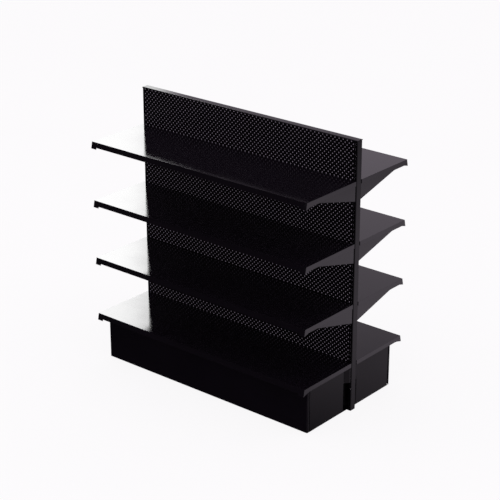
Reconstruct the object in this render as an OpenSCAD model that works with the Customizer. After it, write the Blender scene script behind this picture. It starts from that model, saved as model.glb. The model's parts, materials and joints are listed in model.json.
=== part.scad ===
// Double-sided gondola shelving bay: two slotted uprights, a perforated centre panel, and on
// each side three hook-on shelves above a closed base.
// Frame: X runs along the bay, Y from the front side (-Y) to the rear side (+Y), Z up.
// The origin is on the floor, under the middle of the centre panel.
// Every piece is drawn for the right-hand rear corner (+X, +Y) and mirrored to its own place.

/* [Overall] */
// Length of the bay along X, over the uprights
bay_length = 1195; // [900:5:1300]
// Height of the bay, from the floor to the top of the cap
bay_height = 1229; // [1229:25:1629]

/* [Uprights] */
// Width of an upright along X
post_width = 30; // [28:1:36]
// Depth of an upright along Y
post_depth = 33; // [33:1:40]
// Wall of the upright tube
post_wall = 2; // [1.5:0.1:2.2]
// Corner radius of the upright tube
post_corner = 3.4; // [2:0.1:3.6]
// Spacing of the bracket slots
slot_pitch = 25; // [25:1:26]
// Height of a bracket slot
slot_height = 16; // [16:0.5:18]
// Width of a bracket slot
slot_width = 4.2; // [3.8:0.1:4.4]

/* [Centre panel] */
// Thickness of a perforated sheet
sheet_thickness = 1; // [0.8:0.1:1.2]
// Thickness of the grey sheet behind the holes
backing_thickness = 0.8; // [0.6:0.1:1]
// Distance from the end of the bay to the edge of a sheet
sheet_margin = 9.5; // [9:0.5:10]
// Height of the bottom edge of the sheets above the floor
sheet_bottom = 3; // [2:1:40]

/* [Shelves] */
// Height of the top of the base deck
deck_top = 230; // [230:25:255]
// Distance from one shelf top to the next
shelf_rise = 275; // [275:25:300]
// Distance from the centre plane to the front edge of a shelf
shelf_front = 343.6; // [300:0.1:400]
// Distance from the centre plane to the front edge of the base deck
deck_front = 343.8; // [300:0.1:400]
// Thickness of the shelf metal
shelf_metal = 1.2; // [1:0.1:1.5]
// Height of the front lip
lip_drop = 23.5; // [22:0.1:30]
// Distance the bottom of the lip stands out past its top edge
lip_flare = 5; // [3:0.5:8]
// Length of the deeper tab at each end of the lip
tab_length = 30; // [20:1:40]
// Distance the end tab hangs below the lip
tab_drop = 7.1; // [4:0.1:9]
// Depth of the side and rear flanges
flange_drop = 20; // [15:1:23]

/* [Brackets] */
// Thickness of a bracket plate
bracket_plate = 3; // [2.5:0.1:3.2]
// Distance from the outer face of the upright to the outer face of a bracket
bracket_inset = 3.5; // [3:0.1:4]
// Depth of the straight front part of a bracket below the shelf top
bracket_neck = 25.5; // [24:0.5:28]
// Depth of a bracket below the shelf top at the upright
bracket_root = 88.5; // [80:0.5:95]
// Distance from the centre plane to the bend in the lower edge
bracket_bend = 256; // [200:1:280]

/* [Base] */
// Distance from the centre plane to the face of the kick plate
kick_front = 297; // [260:1:305]
// Distance from the end of the bay to the outer face of the base legs
leg_inset = 19; // [15:0.5:20]
// Height of the notch at the back of a base leg
notch_height = 138; // [100:1:140]
// Width of that notch, measured from the face of the upright
notch_width = 25; // [22:0.5:30]
// Gap between the floor and the base plates
floor_gap = 1.5; // [1:0.5:3]

/* [Levelling feet] */
// Diameter of a foot pad
pad_diameter = 36; // [30:1:40]
// Diameter of the threaded stem
stem_diameter = 10; // [8:1:10]

/* [Hidden] */
$fn = 48;

paint = "#1d1b1e";
paint_edge = "#2a272b";
liner_grey = "#8d8b8f";
zinc = "#a9adb0";
plastic = "#141414";

LEFT = -1;
RIGHT = 1;
FRONT = -1;
REAR = 1;

end_x = bay_length / 2;
post_in = end_x - post_width;
post_face = post_depth / 2;
cap_thickness = 1.5;
cap_rise = 4.5;
cap_corner = 4;
post_top = bay_height - cap_rise;
glide_height = 3;

backing_y = post_face;
sheet_y = backing_y + backing_thickness;
panel_face = sheet_y + sheet_thickness;
sheet_edge = end_x - sheet_margin;

plate_out = end_x - bracket_inset;
plate_in = plate_out - bracket_plate;
slot_out = plate_out + (slot_width - bracket_plate) / 2;
slot_in = slot_out - slot_width;
first_slot = 2;
last_slot = floor((post_top - slot_height - 8) / slot_pitch);

run_gap = 0.2;
hook_neck = 5;
hook_tongue = 8;
hook_thick = 3;
hook_count = 3;
plate_back = post_face + run_gap;
slot_below_shelf = 30;

shelf_back = panel_face + 1.2;
lower_top = deck_top + shelf_rise;
middle_top = lower_top + shelf_rise;
upper_top = middle_top + shelf_rise;
stiffener_width = 60;
stiffener_depth = 16;
stiffener_brim = 12;
shelf_reach = plate_in - 31;

leg_metal = 2.5;
leg_out = end_x - leg_inset;
leg_in = leg_out - leg_metal;
leg_flange = 28;
deck_reach = leg_out - leg_flange - 4;
leg_top = deck_top - shelf_metal - run_gap;
leg_hook_top = deck_top - flange_drop - 1;
leg_hook_front = plate_back + 8;
leg_back = post_face + notch_width;
leg_bend = 6;
leg_web = panel_face + 0.4;
kick_metal = 1.2;
kick_return = 10.8;
kick_corner = 6;
kick_top = deck_top - flange_drop - 1;
leg_front = kick_front - kick_return - 0.7;
clip_height = 30;
clip_width = 16;

foot_x = leg_in - 22;
foot_y = leg_front - 30;
tab_z = 24;
tab_metal = 3;
nut_height = 8;
stem_radius = stem_diameter / 2;
spigot_radius = 4;
thread_gap = 0.05;
pad_height = 8;
stem_top = 68;

rail_height = 25;
rail_depth = 32;
rail_wall = 1.5;
rail_levels = [120, 640, post_top - 46.5];
rail_end = 3;
rail_bolt_offset = 24;
bolt_radius = 4;
bolt_clearance = 4.3;

screw_radius = 1.75;
screw_clearance = 1.9;
screw_x = end_x - 17.5;
hole_row = 10.28;
top_row = post_top - 2.7;
left_screw_rows = [3, 25, 49, 71, 93];
right_screw_rows = [2, 26, 48, 72, 92];

// ---------- placing ----------

module side_of(side) {
    if (side == LEFT) mirror([1, 0, 0]) children();
    else children();
}

module face_of(face) {
    if (face == FRONT) mirror([0, 1, 0]) children();
    else children();
}

module corner(side, face) {
    side_of(side) face_of(face) children();
}

// A (distance from the centre plane, height) outline, swept along X
module sweep_x(x0, x1) {
    translate([x0, 0, 0]) rotate([90, 0, 90]) linear_extrude(x1 - x0) children();
}

// A block between two corners
module block(low, high) {
    translate(low) cube(high - low);
}

module rounded_rect(width, depth, radius) {
    union() {
        square([width - 2 * radius, depth], center = true);
        square([width, depth - 2 * radius], center = true);
        for (x = [-1, 1], y = [-1, 1])
            translate([x * (width / 2 - radius), y * (depth / 2 - radius)]) circle(r = radius);
    }
}

// ---------- uprights ----------

function screw_levels(side) =
    [for (row = side == LEFT ? left_screw_rows : right_screw_rows) top_row - row * hole_row];

module upright(side) {
    color(paint) side_of(side) difference() {
        translate([end_x - post_width / 2, 0, glide_height])
            linear_extrude(post_top - glide_height) difference() {
                rounded_rect(post_width, post_depth, post_corner);
                square([post_width - 2 * post_wall, post_depth - 2 * post_wall], center = true);
            }
        for (i = [first_slot : last_slot])
            block([slot_in, -post_depth, i * slot_pitch],
                  [slot_out, post_depth, i * slot_pitch + slot_height]);
        for (level = rail_levels, step = [-1, 1])
            translate([post_in - 1, 0, level + step * rail_bolt_offset]) rotate([0, 90, 0])
                cylinder(r = bolt_clearance, h = post_wall + 2);
        for (level = screw_levels(side))
            translate([screw_x, 0, level]) rotate([90, 0, 0])
                cylinder(r = screw_clearance, h = 2 * post_depth, center = true);
    }
}

module upright_glides() {
    spigot = [post_width - 2 * post_wall - 1, post_depth - 2 * post_wall - 1];
    color(plastic) for (side = [LEFT, RIGHT])
        side_of(side) translate([end_x - post_width / 2, 0, 0]) {
            linear_extrude(glide_height) rounded_rect(post_width, post_depth, post_corner);
            translate([0, 0, glide_height]) linear_extrude(10) square(spigot, center = true);
        }
}

// ---------- tie rails ----------

module rail(level) {
    color(paint) translate([0, 0, level]) {
        rotate([90, 0, 90]) linear_extrude(2 * (post_in - rail_end), center = true) difference() {
            square([rail_depth, rail_height], center = true);
            square([rail_depth - 2 * rail_wall, rail_height - 2 * rail_wall], center = true);
        }
        for (side = [LEFT, RIGHT]) side_of(side) difference() {
            block([post_in - rail_end, -14, -36], [post_in, 14, 36]);
            for (step = [-1, 1])
                translate([post_in - 5, 0, step * rail_bolt_offset]) rotate([0, 90, 0])
                    cylinder(r = bolt_clearance, h = 10);
        }
    }
}

// Places children at every rail bolt, pointing outwards along X
module at_rail_bolts() {
    for (level = rail_levels, side = [LEFT, RIGHT], step = [-1, 1])
        side_of(side) translate([post_in, 0, level + step * rail_bolt_offset])
            rotate([0, 90, 0]) children();
}

module rail_bolts() {
    color(zinc) at_rail_bolts() {
        translate([0, 0, -rail_end - 5.5]) cylinder(r = 7.5, h = 5.5, $fn = 6);
        translate([0, 0, -rail_end]) cylinder(r = bolt_radius, h = 17);
    }
}

module rail_nuts() {
    color(zinc) at_rail_bolts() difference() {
        translate([0, 0, post_wall]) cylinder(r = 7.5, h = 6.5, $fn = 6);
        cylinder(r = bolt_radius + thread_gap, h = 20);
    }
}

// ---------- centre panel ----------

module panel_sheet(face, inner, thickness) {
    face_of(face) difference() {
        block([-sheet_edge, inner, sheet_bottom], [sheet_edge, inner + thickness, post_top]);
        for (side = [LEFT, RIGHT], level = screw_levels(side))
            translate([side * screw_x, inner - 1, level]) rotate([-90, 0, 0])
                cylinder(r = screw_clearance, h = thickness + 2);
    }
}

module perforated_sheet(face) {
    color(paint) panel_sheet(face, sheet_y, sheet_thickness);
}

module backing_sheet(face) {
    color(liner_grey) panel_sheet(face, backing_y, backing_thickness);
}

module sheet_screws() {
    color(plastic) for (side = [LEFT, RIGHT], face = [FRONT, REAR], level = screw_levels(side))
        face_of(face) translate([side * screw_x, panel_face, level]) rotate([90, 0, 0]) {
            cylinder(r = screw_radius, h = 8);
            translate([0, 0, -0.9]) cylinder(r1 = 2.4, r2 = 3.4, h = 0.9);
        }
}

// ---------- top cap ----------

// A channel with rounded shoulders that sits on the sheets, and two flanges hanging between them
module top_cap() {
    flange_y = backing_y - 0.3;
    inner = cap_rise - cap_thickness;
    color(paint_edge) {
        sweep_x(-end_x, end_x) translate([0, post_top]) difference() {
            rounded_rect(2 * panel_face, 2 * cap_rise, cap_corner);
            rounded_rect(2 * (panel_face - cap_thickness), 2 * inner, cap_corner - cap_thickness);
            translate([-2 * panel_face, -2 * cap_rise]) square([4 * panel_face, 2 * cap_rise]);
        }
        for (face = [FRONT, REAR]) face_of(face)
            block([2 - post_in, flange_y - cap_thickness, post_top - 18],
                  [post_in - 2, flange_y, post_top + inner + 0.1]);
    }
}

module cap_plugs() {
    clear = 0.4;
    color(plastic) for (side = [LEFT, RIGHT]) side_of(side)
        block([post_in + post_wall + clear, post_wall + clear - post_face, post_top - 12],
              [end_x - post_wall - clear, post_face - post_wall - clear,
               post_top + cap_rise - cap_thickness]);
}

// ---------- shelves and base decks ----------

// Shelf metal: top, sloping lip with its hem, and the short rear flange
module shelf_tray(face, top, front) {
    lip_foot = front + lip_flare;
    tab_foot = lip_foot + lip_flare * tab_drop / lip_drop;
    color(paint) face_of(face) translate([0, 0, top]) {
        block([-end_x, shelf_back, -shelf_metal], [end_x, front, 0]);
        sweep_x(-end_x, end_x) polygon([[front, 0], [lip_foot, -lip_drop],
            [lip_foot - shelf_metal, -lip_drop], [front - shelf_metal, -shelf_metal]]);
        block([tab_length - end_x, lip_foot - 11, -lip_drop],
              [end_x - tab_length, lip_foot - 0.3, shelf_metal - lip_drop]);
        block([-end_x + 12, shelf_back, -flange_drop],
              [end_x - 12, shelf_back + shelf_metal, -shelf_metal]);
        for (side = [LEFT, RIGHT]) side_of(side) {
            shelf_end(front, lip_foot, tab_foot);
            sweep_x(end_x - tab_length, end_x) polygon([[lip_foot, -lip_drop],
                [tab_foot, -lip_drop - tab_drop], [tab_foot - shelf_metal, -lip_drop - tab_drop],
                [lip_foot - shelf_metal, -lip_drop]]);
        }
    }
}

// Side flange of a shelf, deeper at the front where it meets the end tab of the lip
module shelf_end(front, lip_foot, tab_foot) {
    sweep_x(end_x - shelf_metal, end_x)
        polygon([[shelf_back, 0], [front, 0], [lip_foot, -lip_drop],
                 [tab_foot, -lip_drop - tab_drop], [front - 24, -flange_drop - 2],
                 [front - 34, -flange_drop], [shelf_back, -flange_drop]]);
}

// Hat-section rib under a shelf
module stiffener(face, top, front, reach) {
    middle = (shelf_back + front) / 2;
    half = stiffener_width / 2;
    skin = 1.2;
    color(paint) face_of(face) translate([0, 0, top - shelf_metal]) sweep_x(-reach, reach)
        translate([middle, 0]) union() {
            for (edge = [-1, 1]) {
                translate([edge * (half - stiffener_brim / 2), -skin / 2])
                    square([stiffener_brim, skin], center = true);
                translate([edge * (half - stiffener_brim), -stiffener_depth / 2])
                    square([skin, stiffener_depth], center = true);
            }
            translate([0, skin / 2 - stiffener_depth])
                square([stiffener_width - 2 * stiffener_brim + skin, skin], center = true);
        }
}

// ---------- brackets ----------

// One hook: a neck that passes through a slot, and a tongue hanging behind the tube wall
module hook_outline(slot) {
    tongue_front = post_face - post_wall - run_gap;
    union() {
        translate([tongue_front - hook_thick, slot + thread_gap])
            square([plate_back - tongue_front + hook_thick + 1, hook_neck]);
        translate([tongue_front - hook_thick, slot - hook_tongue])
            square([hook_thick, hook_tongue + 1]);
    }
}

module bracket(side, face, top) {
    front = shelf_front - 6;
    under = top - shelf_metal - 0.1;
    nose = 6;
    color(paint_edge) corner(side, face) {
        sweep_x(plate_in, plate_out)
            polygon([[plate_back, under], [front, under], [front, top - bracket_neck + nose],
                     [front - nose, top - bracket_neck], [bracket_bend, top - bracket_neck],
                     [plate_back, top - bracket_root]]);
        for (i = [0 : hook_count - 1])
            sweep_x(plate_in, plate_out) hook_outline(top - slot_below_shelf - i * slot_pitch);
    }
}

// ---------- base ----------

// End plate of the base: bent inwards at both upright edges and along the foot, with a tab for the
// levelling foot and, above the notch, a joggled hook plate that hangs in the slots of the upright
module base_leg(side, face) {
    first_hook = ceil(notch_height / slot_pitch);
    color(paint_edge) corner(side, face) difference() {
        union() {
            translate([0, 0, floor_gap]) linear_extrude(leg_top - floor_gap) leg_channel();
            block([leg_in, leg_back, notch_height], [leg_out, leg_front - leg_bend, leg_hook_top]);
            block([leg_out - leg_flange, leg_back + leg_bend, leg_top - leg_metal],
                  [leg_in + 0.5, leg_front - leg_bend, leg_top]);
            block([leg_out - leg_flange, leg_web, floor_gap],
                  [leg_out, foot_y - 60, floor_gap + leg_metal]);
            block([foot_x - 20, foot_y - 30, tab_z], [leg_in + 0.5, leg_front - 1, tab_z + tab_metal]);
            translate([0, 0, notch_height]) linear_extrude(leg_hook_top - notch_height) joggle_plan();
            sweep_x(plate_in, plate_out)
                for (i = [first_hook : first_hook + 1]) hook_outline(i * slot_pitch);
        }
        translate([foot_x, foot_y, 0]) cylinder(r = stem_radius + 0.6, h = 60);
    }
}

// Plan of the hook plate and of the joggle that joins it to the end plate
module joggle_plan() {
    polygon([[leg_in, leg_back + leg_bend], [leg_in, leg_back], [plate_in, leg_hook_front],
             [plate_in, plate_back], [plate_out, plate_back], [plate_out, leg_hook_front],
             [leg_out, leg_back], [leg_out, leg_back + leg_bend]]);
}

// Plan of the end plate
module leg_channel() {
    depth = leg_front - leg_back;
    translate([leg_out - leg_flange, leg_back + depth / 2]) difference() {
        rounded_rect(2 * leg_flange, depth, leg_bend);
        rounded_rect(2 * (leg_flange - leg_metal), depth - 2 * leg_metal, leg_bend - leg_metal);
        translate([-leg_flange, 0]) square([2 * leg_flange, 2 * depth], center = true);
    }
}

module leg_nuts() {
    color(zinc) for (side = [LEFT, RIGHT], face = [FRONT, REAR])
        corner(side, face) translate([foot_x, foot_y, tab_z + tab_metal]) difference() {
            cylinder(r = 9.8, h = nut_height, $fn = 6);
            translate([0, 0, -1]) cylinder(r = stem_radius + thread_gap, h = nut_height + 2);
        }
}

module kick_plate(face) {
    color(paint) face_of(face) {
        translate([0, 0, floor_gap]) linear_extrude(kick_top - floor_gap) difference() {
            translate([0, kick_front - 50]) rounded_rect(2 * leg_out, 100, kick_corner);
            translate([0, kick_front - 50 - kick_metal])
                rounded_rect(2 * (leg_out - kick_metal), 100, kick_corner - kick_metal);
            translate([0, kick_front - kick_return - 100])
                square([3 * leg_out, 200], center = true);
        }
        block([leg_flange + 2 - leg_out, kick_front - 16, kick_top - kick_metal],
              [leg_out - leg_flange - 2, kick_front - kick_metal, kick_top]);
    }
}

module kick_clips() {
    clip_x = leg_out - leg_flange + 3;
    color(zinc) for (side = [LEFT, RIGHT], face = [FRONT, REAR], level = [50, 150])
        corner(side, face)
            block([clip_x, leg_front, level],
                  [clip_x + clip_width, kick_front - kick_metal - run_gap, level + clip_height]);
}

// ---------- levelling feet ----------

module foot_pad(side, face) {
    color(plastic) corner(side, face) translate([foot_x, foot_y, 0]) difference() {
        union() {
            cylinder(d = pad_diameter, h = 3);
            translate([0, 0, 3]) cylinder(d1 = pad_diameter, d2 = 16, h = pad_height - 3);
        }
        translate([0, 0, 2]) cylinder(r = spigot_radius + thread_gap, h = pad_height);
    }
}

module foot_stem(side, face) {
    color(zinc) corner(side, face) translate([foot_x, foot_y, 0]) difference() {
        union() {
            translate([0, 0, 2.1]) cylinder(r = spigot_radius, h = 8);
            translate([0, 0, pad_height + 0.1]) cylinder(r = 7.5, h = 4, $fn = 6);
            translate([0, 0, pad_height + 4]) cylinder(r = stem_radius, h = stem_top - pad_height - 4);
        }
        translate([0, 0, stem_top - 4]) cube([12, 1.6, 10], center = true);
    }
}

upright(LEFT);  // upright_left
upright(RIGHT);  // upright_right
upright_glides();
rail(rail_levels[2]);  // top_rail
rail(rail_levels[1]);  // middle_rail
rail(rail_levels[0]);  // bottom_rail
rail_bolts();
rail_nuts();
perforated_sheet(FRONT);  // front_perforated_sheet
perforated_sheet(REAR);  // rear_perforated_sheet
backing_sheet(FRONT);  // front_backing_sheet
backing_sheet(REAR);  // rear_backing_sheet
sheet_screws();
top_cap();
cap_plugs();
base_leg(LEFT, FRONT);  // front_left_leg
base_leg(RIGHT, FRONT);  // front_right_leg
base_leg(LEFT, REAR);  // rear_left_leg
base_leg(RIGHT, REAR);  // rear_right_leg
leg_nuts();
kick_plate(FRONT);  // front_kick_plate
kick_plate(REAR);  // rear_kick_plate
kick_clips();
shelf_tray(FRONT, deck_top, deck_front);  // front_deck
shelf_tray(REAR, deck_top, deck_front);  // rear_deck
stiffener(FRONT, deck_top, deck_front, deck_reach);  // front_deck_stiffener
stiffener(REAR, deck_top, deck_front, deck_reach);  // rear_deck_stiffener
shelf_tray(FRONT, lower_top, shelf_front);  // front_lower_shelf
shelf_tray(FRONT, middle_top, shelf_front);  // front_middle_shelf
shelf_tray(FRONT, upper_top, shelf_front);  // front_upper_shelf
shelf_tray(REAR, lower_top, shelf_front);  // rear_lower_shelf
shelf_tray(REAR, middle_top, shelf_front);  // rear_middle_shelf
shelf_tray(REAR, upper_top, shelf_front);  // rear_upper_shelf
stiffener(FRONT, lower_top, shelf_front, shelf_reach);  // front_lower_stiffener
stiffener(FRONT, middle_top, shelf_front, shelf_reach);  // front_middle_stiffener
stiffener(FRONT, upper_top, shelf_front, shelf_reach);  // front_upper_stiffener
stiffener(REAR, lower_top, shelf_front, shelf_reach);  // rear_lower_stiffener
stiffener(REAR, middle_top, shelf_front, shelf_reach);  // rear_middle_stiffener
stiffener(REAR, upper_top, shelf_front, shelf_reach);  // rear_upper_stiffener
bracket(LEFT, FRONT, lower_top);  // front_lower_bracket_left
bracket(RIGHT, FRONT, lower_top);  // front_lower_bracket_right
bracket(LEFT, FRONT, middle_top);  // front_middle_bracket_left
bracket(RIGHT, FRONT, middle_top);  // front_middle_bracket_right
bracket(LEFT, FRONT, upper_top);  // front_upper_bracket_left
bracket(RIGHT, FRONT, upper_top);  // front_upper_bracket_right
bracket(LEFT, REAR, lower_top);  // rear_lower_bracket_left
bracket(RIGHT, REAR, lower_top);  // rear_lower_bracket_right
bracket(LEFT, REAR, middle_top);  // rear_middle_bracket_left
bracket(RIGHT, REAR, middle_top);  // rear_middle_bracket_right
bracket(LEFT, REAR, upper_top);  // rear_upper_bracket_left
bracket(RIGHT, REAR, upper_top);  // rear_upper_bracket_right
foot_pad(LEFT, FRONT);  // front_left_pad
foot_pad(RIGHT, FRONT);  // front_right_pad
foot_pad(LEFT, REAR);  // rear_left_pad
foot_pad(RIGHT, REAR);  // rear_right_pad
foot_stem(LEFT, FRONT);  // front_left_stem
foot_stem(RIGHT, FRONT);  // front_right_stem
foot_stem(LEFT, REAR);  // rear_left_stem
foot_stem(RIGHT, REAR);  // rear_right_stem
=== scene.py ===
"""Looks of the double-sided shelving bay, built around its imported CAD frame. All lengths are in metres."""

import json
import math

import bpy
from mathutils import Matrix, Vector


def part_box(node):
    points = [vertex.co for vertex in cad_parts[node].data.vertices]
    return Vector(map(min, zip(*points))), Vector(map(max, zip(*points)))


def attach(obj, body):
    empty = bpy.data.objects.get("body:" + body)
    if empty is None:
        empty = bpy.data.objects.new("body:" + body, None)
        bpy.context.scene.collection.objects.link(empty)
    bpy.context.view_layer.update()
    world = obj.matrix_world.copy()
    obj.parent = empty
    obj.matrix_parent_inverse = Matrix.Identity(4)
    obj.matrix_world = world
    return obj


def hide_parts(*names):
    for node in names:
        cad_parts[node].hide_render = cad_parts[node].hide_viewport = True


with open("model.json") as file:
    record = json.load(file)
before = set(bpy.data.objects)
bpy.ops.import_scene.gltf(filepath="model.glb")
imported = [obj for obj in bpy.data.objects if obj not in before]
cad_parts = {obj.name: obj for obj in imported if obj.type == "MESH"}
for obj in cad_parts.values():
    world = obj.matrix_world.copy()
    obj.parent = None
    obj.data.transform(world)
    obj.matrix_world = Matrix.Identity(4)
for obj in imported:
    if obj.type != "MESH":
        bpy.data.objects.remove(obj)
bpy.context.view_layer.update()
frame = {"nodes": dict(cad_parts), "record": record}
nodes = frame["nodes"]

MM = 0.001

# ---------- node helpers ----------


class Tree:
    """Short calls for building one material's or the world's node tree."""

    def __init__(self, tree):
        self.tree = tree
        tree.nodes.clear()

    def add(self, kind, values=None, **settings):
        node = self.tree.nodes.new(kind)
        for key, value in settings.items():
            setattr(node, key, value)
        for key, value in (values or {}).items():
            if isinstance(value, bpy.types.NodeSocket):
                self.tree.links.new(value, node.inputs[key])
            else:
                node.inputs[key].default_value = value
        return node

    def link(self, output, target):
        self.tree.links.new(output, target)

    def math(self, operation, a, b=0.0, c=0.0, clamp=False):
        return self.add("ShaderNodeMath", {0: a, 1: b, 2: c}, operation=operation,
                        use_clamp=clamp).outputs[0]

    def ramp(self, value, low, high, to_low=0.0, to_high=1.0):
        """Smooth step of value from low to high, rescaled to to_low ... to_high."""
        return self.add("ShaderNodeMapRange", {"Value": value, "From Min": low, "From Max": high,
                                               "To Min": to_low, "To Max": to_high},
                        interpolation_type="SMOOTHSTEP").outputs[0]

    def noise(self, vector, scale, detail=3.0, roughness=0.5):
        return self.add("ShaderNodeTexNoise", {"Vector": vector, "Scale": scale, "Detail": detail,
                                               "Roughness": roughness}).outputs["Fac"]

    def stretch(self, vector, scale):
        return self.add("ShaderNodeMapping", {"Vector": vector, "Scale": scale}).outputs[0]

    def mix(self, factor, a, b):
        node = self.add("ShaderNodeMix", data_type="RGBA")
        for socket, value in (("Factor_Float", factor), ("A_Color", a), ("B_Color", b)):
            found = next(s for s in node.inputs if s.identifier == socket)
            if isinstance(value, bpy.types.NodeSocket):
                self.tree.links.new(value, found)
            else:
                found.default_value = value
        return next(s for s in node.outputs if s.identifier == "Result_Color")

    def dot(self, vector, direction):
        return self.add("ShaderNodeVectorMath", {0: vector, 1: direction},
                        operation="DOT_PRODUCT").outputs["Value"]


def grey(level, tint=(1.0, 1.0, 1.0)):
    return (level * tint[0], level * tint[1], level * tint[2], 1.0)


def new_material(name):
    material = bpy.data.materials.new(name)
    material.use_nodes = True
    return material, Tree(material.node_tree)


# ---------- materials ----------

PURPLE_CAST = (1.0, 0.7, 1.22)
LINER_CAST = (1.0, 0.88, 1.06)


def powder_coat(name, level, gloss, peel=0.12, scuff=0.05, painted_reflection_level=1.0):
    """Black powder coat: fine orange peel, slow changes of gloss, faint rubbing along X and specks. A gloss
    colour below 1 dims the reflection, a painted shade.
    """
    material, t = new_material(name)
    place = t.add("ShaderNodeTexCoord").outputs["Object"]
    slow = t.noise(place, 5.0, 2.0)
    fine = t.noise(place, 900.0, 2.0, 0.6)
    wide = t.noise(place, 230.0, 1.0)
    rubbed = t.noise(t.stretch(place, (3.0, 60.0, 60.0)), 3.0, 4.0, 0.65)
    rub = t.ramp(rubbed, 0.56, 0.74)
    specks = t.ramp(t.noise(place, 420.0, 1.0), 0.76, 0.82)
    shade = t.mix(slow, grey(level * 0.8, PURPLE_CAST), grey(level * 1.25, PURPLE_CAST))
    shade = t.mix(t.math("MULTIPLY", rub, 0.35), shade, grey(level * 2.2, PURPLE_CAST))
    shade = t.mix(t.math("MULTIPLY", specks, 0.5), shade, grey(level * 4.0))
    rough = t.math("MULTIPLY_ADD", slow, 0.07, gloss - 0.035)
    rough = t.math("MULTIPLY_ADD", rub, scuff, rough)
    rough = t.math("MULTIPLY_ADD", fine, 0.03, rough, clamp=True)
    height = t.math("MULTIPLY_ADD", wide, 0.6, fine)
    bump = t.add("ShaderNodeBump", {"Strength": peel, "Distance": 0.00002, "Height": height})
    # a narrow-lobed gloss keeps the bright studio wall from bleeding into the dark reflections
    base = t.add("ShaderNodeBsdfDiffuse", {"Color": shade, "Normal": bump.outputs[0]})
    # a gloss colour below 1 is painted shade: it dims this copy's reflection
    gloss_layer = t.add("ShaderNodeBsdfAnisotropic", {
        "Color": grey(painted_reflection_level), "Roughness": rough, "Normal": bump.outputs[0]},
        distribution="BECKMANN")
    grazing = t.add("ShaderNodeFresnel", {"IOR": 1.5, "Normal": bump.outputs[0]})
    shader = t.add("ShaderNodeMixShader")
    t.link(grazing.outputs[0], shader.inputs[0])
    t.link(base.outputs[0], shader.inputs[1])
    t.link(gloss_layer.outputs[0], shader.inputs[2])
    out = t.add("ShaderNodeOutputMaterial")
    t.link(shader.outputs[0], out.inputs["Surface"])
    return material


def zinc_plate(name):
    """Bright zinc: brushed metal with cloudy passivation."""
    material, t = new_material(name)
    place = t.add("ShaderNodeTexCoord").outputs["Object"]
    clouds = t.noise(place, 60.0, 4.0, 0.6)
    grain = t.noise(t.stretch(place, (300.0, 300.0, 2400.0)), 1.0, 3.0)
    shade = t.mix(clouds, (0.42, 0.44, 0.45, 1.0), (0.66, 0.66, 0.62, 1.0))
    rough = t.math("MULTIPLY_ADD", grain, 0.25, 0.18)
    rough = t.math("MULTIPLY_ADD", clouds, 0.12, rough, clamp=True)
    bump = t.add("ShaderNodeBump", {"Strength": 0.2, "Distance": 0.00005, "Height": grain})
    shader = t.add("ShaderNodeBsdfPrincipled", {
        "Base Color": shade, "Metallic": 1.0, "Roughness": rough, "Normal": bump.outputs[0]})
    out = t.add("ShaderNodeOutputMaterial")
    t.link(shader.outputs[0], out.inputs["Surface"])
    return material


def moulded_plastic(name, level):
    """Black moulded plastic: fine spark texture and dull sheen."""
    material, t = new_material(name)
    place = t.add("ShaderNodeTexCoord").outputs["Object"]
    spark = t.add("ShaderNodeTexVoronoi", {"Vector": place, "Scale": 1400.0}).outputs["Distance"]
    dust = t.noise(place, 90.0, 4.0, 0.6)
    shade = t.mix(dust, grey(level * 0.7), grey(level * 1.6))
    rough = t.math("MULTIPLY_ADD", dust, 0.2, 0.42, clamp=True)
    bump = t.add("ShaderNodeBump", {"Strength": 0.25, "Distance": 0.00008, "Height": spark})
    shader = t.add("ShaderNodeBsdfPrincipled", {
        "Base Color": shade, "Roughness": rough, "Normal": bump.outputs[0]})
    out = t.add("ShaderNodeOutputMaterial")
    t.link(shader.outputs[0], out.inputs["Surface"])
    return material


def liner_painted_light(name, level, glow):
    """Grey liner on the faces behind the holes, with rolled grain: its grey and a little glow are painted
    light for the light that gets between the sheets, and its edges that don't face along Y are painted
    near-black, a painted shade."""
    material, t = new_material(name)
    place = t.add("ShaderNodeTexCoord").outputs["Object"]
    rolled = t.noise(t.stretch(place, (4.0, 200.0, 200.0)), 2.0, 4.0, 0.6)
    fleck = t.noise(place, 700.0, 2.0)
    shade = t.mix(rolled, grey(level * 0.9, LINER_CAST), grey(level * 1.1, LINER_CAST))
    normal = t.add("ShaderNodeNewGeometry").outputs["True Normal"]
    # edges that don't face along Y are painted near-black and get no glow: painted shade
    face_on = t.math("ABSOLUTE", t.dot(normal, (0.0, 1.0, 0.0)))
    shade = t.mix(face_on, grey(0.003), shade)
    rough = t.math("MULTIPLY_ADD", rolled, 0.2, 0.5, clamp=True)
    bump = t.add("ShaderNodeBump", {"Strength": 0.15, "Distance": 0.00005, "Height": fleck})
    # the emission is painted light: the liner glows though it is no lamp
    shader = t.add("ShaderNodeBsdfPrincipled", {
        "Base Color": shade, "Roughness": rough, "Normal": bump.outputs[0],
        "Emission Color": shade, "Emission Strength": glow})
    out = t.add("ShaderNodeOutputMaterial")
    t.link(shader.outputs[0], out.inputs["Surface"])
    return material


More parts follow.
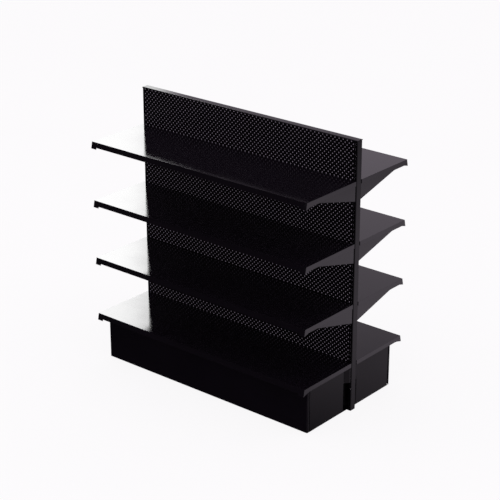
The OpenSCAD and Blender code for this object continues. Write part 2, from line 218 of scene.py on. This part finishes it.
# Lit and shaded copies of one black coat: the shelf coat is painted lighter (painted light), and the cap and
# upright coats get a dimmed gloss (painted shade).
FINISHES = {
    "black_paint_shelf": powder_coat("shelf_coat_painted_light", 0.0050, 0.135, peel=0.06, scuff=0.03),
    "black_paint_panel": powder_coat("panel_coat", 0.0020, 0.20),
    "black_paint_cap": powder_coat("cap_coat_painted_shade", 0.0024, 0.10, peel=0.08, painted_reflection_level=0.65),
    "black_paint_bracket": powder_coat("bracket_coat", 0.0026, 0.16, peel=0.08),
    "black_paint_upright": powder_coat("upright_coat_painted_shade", 0.0024, 0.16, peel=0.08, painted_reflection_level=0.62),
    "black_paint_frame": powder_coat("frame_coat", 0.0024, 0.24),
    # the grey backing's grey and glow are painted light, standing in for the light seen through the holes
    "grey_backing": liner_painted_light("backing_painted_light", 0.3, 0.34),
    "black_plastic": moulded_plastic("black_plastic", 0.006),
    "zinc_steel": zinc_plate("zinc"),
}
# Extra copies of the coat: the legs get a dimmed gloss (painted shade); the kick plate is painted lighter
# (painted light) and gets a dimmed gloss (painted shade).
LEG_COAT_PAINTED_SHADE = powder_coat("leg_coat_painted_shade", 0.0024, 0.14, peel=0.08, painted_reflection_level=0.45)
KICK_COAT_PAINTED_LIGHT_AND_SHADE = powder_coat("kick_coat_painted_light_and_shade", 0.0052, 0.28, painted_reflection_level=0.45)
slot_of = {part["node"]: part["material_slot"] for part in frame["record"]["subparts"]}


def round_edges(obj, width):
    """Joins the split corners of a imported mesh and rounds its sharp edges."""
    weld = obj.modifiers.new("weld", "WELD")
    weld.merge_threshold = 0.000005
    bevel = obj.modifiers.new("edge", "BEVEL")
    bevel.width = width
    bevel.segments = 2
    bevel.limit_method = "ANGLE"
    bevel.angle_limit = math.radians(40)
    bevel.use_clamp_overlap = True
    bevel.harden_normals = False


ROUNDED = {"_shelf": 0.0006, "_deck": 0.0006, "_leg": 0.0006,
           "kick_plate": 0.00035, "bracket_left": 0.0005, "bracket_right": 0.0005}

for name, obj in nodes.items():
    obj.data.materials.clear()
    if name.endswith("_leg"):
        obj.data.materials.append(LEG_COAT_PAINTED_SHADE)
    elif name.endswith("kick_plate"):
        obj.data.materials.append(KICK_COAT_PAINTED_LIGHT_AND_SHADE)
    else:
        obj.data.materials.append(FINISHES[slot_of[name]])
    for ending, width in ROUNDED.items():
        if name.endswith(ending):
            round_edges(obj, width)

# ---------- perforated sheets ----------

HALF_COLUMNS = 112
FIRST_COLUMN = -579.8 * MM
COLUMN_STEP = 10.425 * MM
ROW_STEP = 10.28 * MM
TOP_ROW_DROP = 2.7 * MM
HOLE_RADIUS = 2.4 * MM
HOLE_SIDES = 12
ROWS_BELOW_DECK = 3


def hole_cell():
    """One brick-shaped cell with a hole: outer points, hole points and faces, seen from outside."""
    w, h = COLUMN_STEP, ROW_STEP / 2
    points = [(-w, -h), (0, -h), (w, -h), (w, h), (0, h), (-w, h)]
    step = 2 * math.pi / HOLE_SIDES
    for j in range(HOLE_SIDES):
        angle = (j + 0.5) * step - math.pi / 2
        points.append((HOLE_RADIUS * math.cos(angle), HOLE_RADIUS * math.sin(angle)))
    ring = [6 + j for j in range(HOLE_SIDES)]
    q = HOLE_SIDES // 4
    faces = [[1, ring[0], ring[-1]],
             [1, 2] + ring[0:q][::-1],
             [2, 3] + ring[q - 1:q + 1][::-1],
             [3, 4] + ring[q:2 * q][::-1],
             [4, ring[2 * q], ring[2 * q - 1]],
             [4, 5] + ring[2 * q:3 * q][::-1],
             [5, 0] + ring[3 * q - 1:3 * q + 1][::-1],
             [0, 1] + ring[3 * q:4 * q][::-1]]
    return points, faces


def perforated_outline(rows, z_top, z_low, z_high, x_limit):
    """Flat mesh of the sheet over the given rows: points (x, z) and faces, each corner shared."""
    cell_points, cell_faces = hole_cell()
    index, points, faces = {}, [], []

    def corner(x, z):
        x = min(max(x, -x_limit), x_limit)
        z = min(max(z, z_low), z_high)
        key = (round(x * 1e6), round(z * 1e6))
        if key not in index:
            index[key] = len(points)
            points.append((x, z))
        return index[key]

    def column(i):
        return FIRST_COLUMN + i * COLUMN_STEP

    def plain(x0, x1, z0, z1):
        faces.append([corner(x0, z0), corner(x1, z0), corner(x1, z1), corner(x0, z1)])

    for k in rows:
        z = z_top - k * ROW_STEP
        for i in range(k % 2, HALF_COLUMNS, 2):
            own = [corner(column(i) + p[0], z + p[1]) for p in cell_points]
            faces.extend([own[j] for j in face] for face in cell_faces)
        low, high = z - ROW_STEP / 2, z + ROW_STEP / 2
        if k % 2:
            plain(-x_limit, FIRST_COLUMN, low, high)
        else:
            plain(column(HALF_COLUMNS - 1), x_limit, low, high)
    grid = [-x_limit] + [column(i) for i in range(HALF_COLUMNS)] + [x_limit]
    row_top = z_top - rows[0] * ROW_STEP + ROW_STEP / 2
    row_foot = z_top - rows[-1] * ROW_STEP - ROW_STEP / 2
    for x0, x1 in zip(grid[:-1], grid[1:]):
        if z_high - row_top > 1e-6:
            plain(x0, x1, row_top, z_high)
        if row_foot - z_low > 1e-6:
            plain(x0, x1, z_low, row_foot)
    return points, faces


def thick_sheet(name, points, faces, y_inner, y_outer):
    """Closed sheet from a flat outline: outer side, inner side and a wall along every open edge."""
    n = len(points)
    side = 1 if y_outer > y_inner else -1
    verts = [(x, y_outer, z) for x, z in points] + [(x, y_inner, z) for x, z in points]
    edges = set()
    for face in faces:
        edges.update(zip(face, face[1:] + face[:1]))
    solid = []
    for face in faces:
        solid.append(face[::-1] if side > 0 else face)
        solid.append([v + n for v in (face if side > 0 else face[::-1])])
    for a, b in edges:
        if (b, a) not in edges:
            wall = [b, a, a + n, b + n]
            solid.append(wall[::-1] if side > 0 else wall)
    mesh = bpy.data.meshes.new(name)
    mesh.from_pydata(verts, [], solid)
    mesh.validate()
    mesh.update()
    obj = bpy.data.objects.new(name, mesh)
    bpy.context.scene.collection.objects.link(obj)
    return obj


def build_perforated(face):
    """Perforated sheet in two pieces, with hole rows from the top edge down to just below the deck."""
    node = face + "_perforated_sheet"
    low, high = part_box(node)
    outer = low.y if face == "front" else high.y
    inner = high.y if face == "front" else low.y
    z_top = high.z - TOP_ROW_DROP
    count = int((z_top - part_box(face + "_deck")[1].z) / ROW_STEP) + ROWS_BELOW_DECK
    half = count // 2
    split = z_top - half * ROW_STEP + ROW_STEP / 2
    for part, rows, z0, z1 in (("upper", range(0, half), split, high.z),
                               ("lower", range(half, count), low.z, split)):
        points, faces = perforated_outline(rows, z_top, z0, z1, high.x)
        sheet = thick_sheet(f"{node}_{part}", points, faces, inner, outer)
        sheet.data.materials.append(FINISHES["black_paint_panel"])
        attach(sheet, "root")
        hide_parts(node)


for face in ("front", "rear"):
    build_perforated(face)

# ---------- threaded stems of the levelling feet ----------

THREAD_PITCH = 1.5 * MM
THREAD_TOP = 5.0 * MM
THREAD_ROOT = 4.15 * MM
THREAD_STEPS = 24
THREAD_CUTS = 6
THREAD_RUN_OUT = 1.0 * MM
HEX_RADIUS = 7.5 * MM
HEX_FOOT = 8.1 * MM
HEX_HEIGHT = 4.0 * MM
STEP = 0.05 * MM
SPIGOT_RADIUS = 4.0 * MM
SPIGOT_CHAMFER = 0.4 * MM
SLOT_HALF = 0.8 * MM
SLOT_DEPTH = 5.0 * MM
SLOT_STEPS = 12


def loft(rings):
    """Closed skin over rings that all have the same number of points."""
    n = len(rings[0])
    verts = [point for ring in rings for point in ring]
    faces = []
    for r in range(len(rings) - 1):
        a, b = r * n, (r + 1) * n
        for j in range(n):
            k = (j + 1) % n
            faces.append((a + j, a + k, b + k, b + j))
    last = (len(rings) - 1) * n
    faces.append(tuple(range(n))[::-1])
    faces.append(tuple(last + j for j in range(n)))
    return verts, faces


def ring_at(z, radius_of):
    """Ring of points at height z; radius_of gives the radius at each angle."""
    ring = []
    for j in range(THREAD_STEPS):
        angle = 2 * math.pi * j / THREAD_STEPS
        radius = radius_of(angle)
        ring.append((radius * math.cos(angle), radius * math.sin(angle), z))
    return ring


def hexagon(angle):
    """Radius of a hexagonal outline with flats facing 30 degrees off X."""
    sector = math.radians(60)
    return HEX_RADIUS * math.cos(sector / 2) / math.cos((angle % sector) - sector / 2)


def slotted_end(side, z_low, z_high):
    """Half of the stem's end, beside the screwdriver slot."""
    cut = math.asin(SLOT_HALF / THREAD_ROOT)
    outline = []
    for j in range(SLOT_STEPS + 1):
        angle = cut + (math.pi - 2 * cut) * j / SLOT_STEPS
        outline.append((THREAD_ROOT * math.cos(angle), THREAD_ROOT * math.sin(angle) * side))
    if side < 0:
        outline.reverse()
    return loft([[(x, y, z) for x, y in outline] for z in (z_low, z_high)])


def build_stem(node):
    """Levelling stem: spigot in the pad, hexagon, thread and slotted end."""
    low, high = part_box(node)
    centre_x, centre_y = (low.x + high.x) / 2, (low.y + high.y) / 2
    hex_high = HEX_FOOT + HEX_HEIGHT
    slot_floor = high.z - SLOT_DEPTH
    rings = [ring_at(low.z, lambda a: SPIGOT_RADIUS * 0.92),
             ring_at(low.z + SPIGOT_CHAMFER, lambda a: SPIGOT_RADIUS),
             ring_at(HEX_FOOT, lambda a: SPIGOT_RADIUS),
             ring_at(HEX_FOOT + STEP, hexagon),
             ring_at(hex_high, hexagon),
             ring_at(hex_high + STEP, lambda a: THREAD_ROOT)]
    z = hex_high + THREAD_RUN_OUT
    while z < slot_floor - 0.5 * MM:
        def threaded(angle, z=z):
            turn = (z / THREAD_PITCH - angle / (2 * math.pi)) % 1.0
            return THREAD_ROOT + (THREAD_TOP - THREAD_ROOT) * (1 - abs(2 * turn - 1))
        rings.append(ring_at(z, threaded))
        z += THREAD_PITCH / THREAD_CUTS
    rings.append(ring_at(slot_floor, lambda a: THREAD_ROOT))
    verts, faces = loft(rings)
    for side in (1, -1):
        more, extra = slotted_end(side, slot_floor - 0.1 * MM, high.z)
        start = len(verts)
        verts += more
        faces += [tuple(v + start for v in face) for face in extra]
    mesh = bpy.data.meshes.new(node + "_threaded")
    mesh.from_pydata([(x + centre_x, y + centre_y, z) for x, y, z in verts], [], faces)
    mesh.validate()
    mesh.materials.append(FINISHES["zinc_steel"])
    stem = bpy.data.objects.new(node + "_threaded", mesh)
    bpy.context.scene.collection.objects.link(stem)
    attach(stem, node)
    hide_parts(node)


for face in ("front", "rear"):
    for end in ("left", "right"):
        build_stem(f"{face}_{end}_stem")

# ---------- floor ----------

FLOOR_RADIUS = 12.0
FLOOR_RINGS = 24
FLOOR_SPOKES = 96


def build_floor():
    """Pale floor disc, seen by the camera only, so that the black coat isn't washed out by it."""
    material, t = new_material("pale_floor")
    place = t.add("ShaderNodeTexCoord").outputs["Object"]
    tone = t.noise(place, 0.7, 2.0)
    shade = t.mix(tone, (0.17, 0.17, 0.17, 1.0), (0.19, 0.19, 0.19, 1.0))
    diffuse = t.add("ShaderNodeBsdfDiffuse", {"Color": shade})
    glow = t.add("ShaderNodeEmission", {"Color": (1.0, 0.995, 1.0, 1.0), "Strength": 0.89})
    both = t.add("ShaderNodeAddShader")
    t.link(diffuse.outputs[0], both.inputs[0])
    t.link(glow.outputs[0], both.inputs[1])
    out = t.add("ShaderNodeOutputMaterial")
    t.link(both.outputs[0], out.inputs["Surface"])
    verts, faces = [(0.0, 0.0, 0.0)], []
    for r in range(1, FLOOR_RINGS + 1):
        radius = FLOOR_RADIUS * (r / FLOOR_RINGS) ** 2
        for s in range(FLOOR_SPOKES):
            angle = 2 * math.pi * s / FLOOR_SPOKES
            verts.append((radius * math.cos(angle), radius * math.sin(angle), 0.0))
    for s in range(FLOOR_SPOKES):
        faces.append((0, 1 + s, 1 + (s + 1) % FLOOR_SPOKES))
    for r in range(FLOOR_RINGS - 1):
        a, b = 1 + r * FLOOR_SPOKES, 1 + (r + 1) * FLOOR_SPOKES
        for s in range(FLOOR_SPOKES):
            e = (s + 1) % FLOOR_SPOKES
            faces.append((a + s, b + s, b + e, a + e))
    mesh = bpy.data.meshes.new("floor")
    mesh.from_pydata(verts, [], faces)
    mesh.materials.append(material)
    obj = bpy.data.objects.new("floor", mesh)
    bpy.context.scene.collection.objects.link(obj)
    obj.visible_glossy = False
    obj.visible_diffuse = False


build_floor()

# ---------- surroundings ----------

GREY_CAST = (1.0, 0.885, 1.02)
BACKGROUND = 0.972
ROOM_LIGHT = 0.45
DARKEST = 0.03
WALL_NORMAL = (-0.743, -0.669, 0.0)


def bright_wall(t, way, height, back):
    """Wall at the left rear, brighter toward its top; the left ends of the shelves mirror it."""
    left_of = t.dot(way, WALL_NORMAL)
    edge = t.ramp(height, 0.29, 0.36, 0.018, 0.022)
    wall = t.ramp(t.math("SUBTRACT", left_of, edge), -0.008, 0.008)
    wall = t.math("MULTIPLY", wall, t.ramp(back, 0.15, 0.4))
    wall = t.math("MULTIPLY", wall, t.ramp(height, 0.05, 0.25))
    wall = t.math("MULTIPLY", wall, t.ramp(height, 0.52, 0.42))
    growth = t.math("MAXIMUM", t.math("MULTIPLY_ADD", height, 29.0, -4.63), 1.0)
    return t.math("MULTIPLY", wall, growth)


def dim_rear(t, height, back):
    """Grey backdrop behind the bay, darker toward its top; the rear shelves mirror it."""
    dim = t.math("MULTIPLY", t.ramp(back, 0.2, 0.7), t.ramp(height, 0.50, 0.44))
    dim = t.math("MULTIPLY", dim, t.math("MULTIPLY_ADD", height, -1.42, 1.01))
    return t.math("MULTIPLY", dim, t.ramp(height, -0.1, 0.1))


def low_side(t, height, back, right):
    """Glow low at the right rear; the upright, the brackets and the legs mirror it."""
    side = t.math("MULTIPLY", t.ramp(right, 0.2, 0.5), t.ramp(back, 0.2, 0.6))
    side = t.math("MULTIPLY", side, t.ramp(height, -0.30, -0.365, 0.35, 1.0))
    side = t.math("MULTIPLY", side, t.ramp(height, -0.485, -0.445, 0.1, 1.0))
    side = t.math("MULTIPLY", side, t.ramp(height, -0.1, -0.2))
    return t.math("MULTIPLY", side, 0.68)


def soft_panels(t, total, height, back, right):
    """Adds soft panels for the other sides of the bay; the main camera sees almost none of them."""
    low = t.ramp(height, -0.03, -0.15)
    front = t.math("MULTIPLY", t.ramp(back, -0.05, -0.35), t.ramp(right, -0.50, -0.20, 0.12, 1.0))
    left_rear = t.math("MULTIPLY", t.ramp(back, 0.15, 0.45), t.ramp(right, -0.05, -0.35))
    right_front = t.math("MULTIPLY", t.ramp(right, 0.20, 0.50), t.ramp(back, -0.05, -0.35))
    panels = [(t.ramp(height, 0.62, 0.85), 1.0, 0.45),
              (front, t.ramp(height, -0.02, 0.35), 0.50),
              (t.ramp(right, 0.15, 0.45), t.ramp(height, -0.12, 0.30), 0.40),
              (left_rear, low, 0.70),
              (right_front, low, 0.45)]
    for across, upright, strength in panels:
        total = t.math("MULTIPLY_ADD", t.math("MULTIPLY", across, upright), strength, total)
    return total


def build_world():
    """White to the camera, even to matt surfaces, and a studio to the gloss of the coat."""
    world = bpy.data.worlds.new("studio")
    world.use_nodes = True
    bpy.context.scene.world = world
    t = Tree(world.node_tree)
    way = t.add("ShaderNodeTexCoord").outputs["Generated"]
    path = t.add("ShaderNodeLightPath")
    height = t.dot(way, (0.0, 0.0, 1.0))
    back = t.dot(way, (0.0, 1.0, 0.0))
    right = t.dot(way, (1.0, 0.0, 0.0))
    wall = bright_wall(t, way, height, back)
    dim = dim_rear(t, height, back)
    side = low_side(t, height, back, right)
    total = t.math("ADD", t.math("ADD", wall, dim), t.math("ADD", side, DARKEST))
    total = soft_panels(t, total, height, back, right)
    tinted = t.mix(t.ramp(total, 1.0, 3.0), grey(1.0, GREY_CAST), grey(1.0))
    mirrored = t.add("ShaderNodeBackground", {"Color": tinted, "Strength": total})
    soft = t.add("ShaderNodeBackground", {"Color": grey(1.0, GREY_CAST), "Strength": ROOM_LIGHT})
    seen = t.add("ShaderNodeBackground", {"Color": (1.0, 0.998, 1.0, 1.0), "Strength": BACKGROUND})
    lit = t.add("ShaderNodeMixShader")
    t.link(path.outputs["Is Glossy Ray"], lit.inputs[0])
    t.link(soft.outputs[0], lit.inputs[1])
    t.link(mirrored.outputs[0], lit.inputs[2])
    final = t.add("ShaderNodeMixShader")
    t.link(path.outputs["Is Camera Ray"], final.inputs[0])
    t.link(lit.outputs[0], final.inputs[1])
    t.link(seen.outputs[0], final.inputs[2])
    out = t.add("ShaderNodeOutputWorld")
    t.link(final.outputs[0], out.inputs["Surface"])


def soft_light(name, place, target, size, power):
    """Square lamp that lights matt surfaces only."""
    data = bpy.data.lights.new(name, "AREA")
    data.shape = "RECTANGLE"
    data.size, data.size_y = size, size
    data.energy = power
    light = bpy.data.objects.new(name, data)
    light.location = place
    aim = Vector(target) - Vector(place)
    light.rotation_euler = aim.to_track_quat("-Z", "Y").to_euler()
    light.visible_camera = False
    light.visible_glossy = False
    bpy.context.scene.collection.objects.link(light)


build_world()
soft_light("soft_top", (0.0, -0.6, 4.0), (0.0, 0.0, 0.3), 3.0, 14.0)

# ---------- camera ----------

CAMERA_PLACE = (4.1856, -4.9798, 3.2679)
CAMERA_TARGET = (0.0743, -0.0690, 0.6317)
LENS = 114.66

camera_data = bpy.data.cameras.new("camera")
camera_data.lens = LENS
camera_data.sensor_width = 36.0
camera = bpy.data.objects.new("camera", camera_data)
camera.location = CAMERA_PLACE
aim = Vector(CAMERA_TARGET) - Vector(CAMERA_PLACE)
camera.rotation_euler = aim.to_track_quat("-Z", "Y").to_euler()
bpy.context.scene.collection.objects.link(camera)
bpy.context.scene.camera = camera
bpy.context.scene.view_settings.view_transform = "Standard"
bpy.context.scene.view_settings.look = "None"
